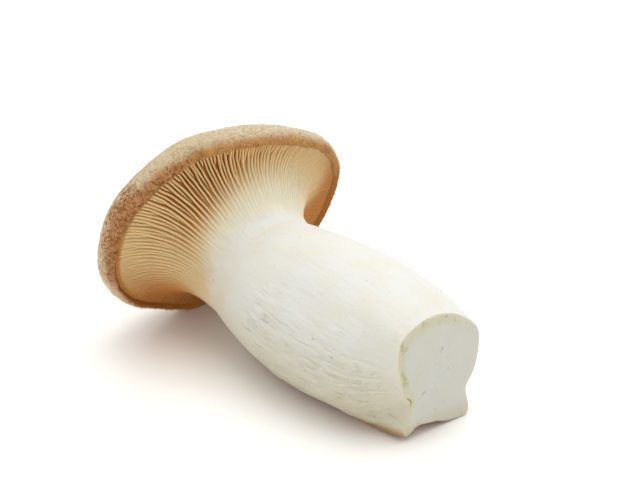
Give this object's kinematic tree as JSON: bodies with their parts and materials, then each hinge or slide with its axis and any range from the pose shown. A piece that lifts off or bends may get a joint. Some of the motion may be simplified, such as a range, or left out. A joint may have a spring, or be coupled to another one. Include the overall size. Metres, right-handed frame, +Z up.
{
  "type": "king oyster mushroom",
  "caption": "King oyster mushroom lying on its side, with a thick pale stem cut flat at the base, gills running down it, and a brown felted cap.",
  "frame": {"origin": "centre of the bounding box's bottom face, on the table the mushroom lies on", "axes": "+Z up from the table, +X along the stem towards the knife cut, the cap towards -X"},
  "size_m": [0.1036, 0.0782, 0.0607],
  "materials": {
    "stem_flesh": "matte, firm white flesh with fine fibres",
    "cap_skin": "matte, dry, felted brown skin",
    "gills": "matte, thin cream blades, ochre between"
  },
  "bodies": {
    "root": {"king_oyster_mushroom": "stem_flesh"}
  },
  "joints": []
}
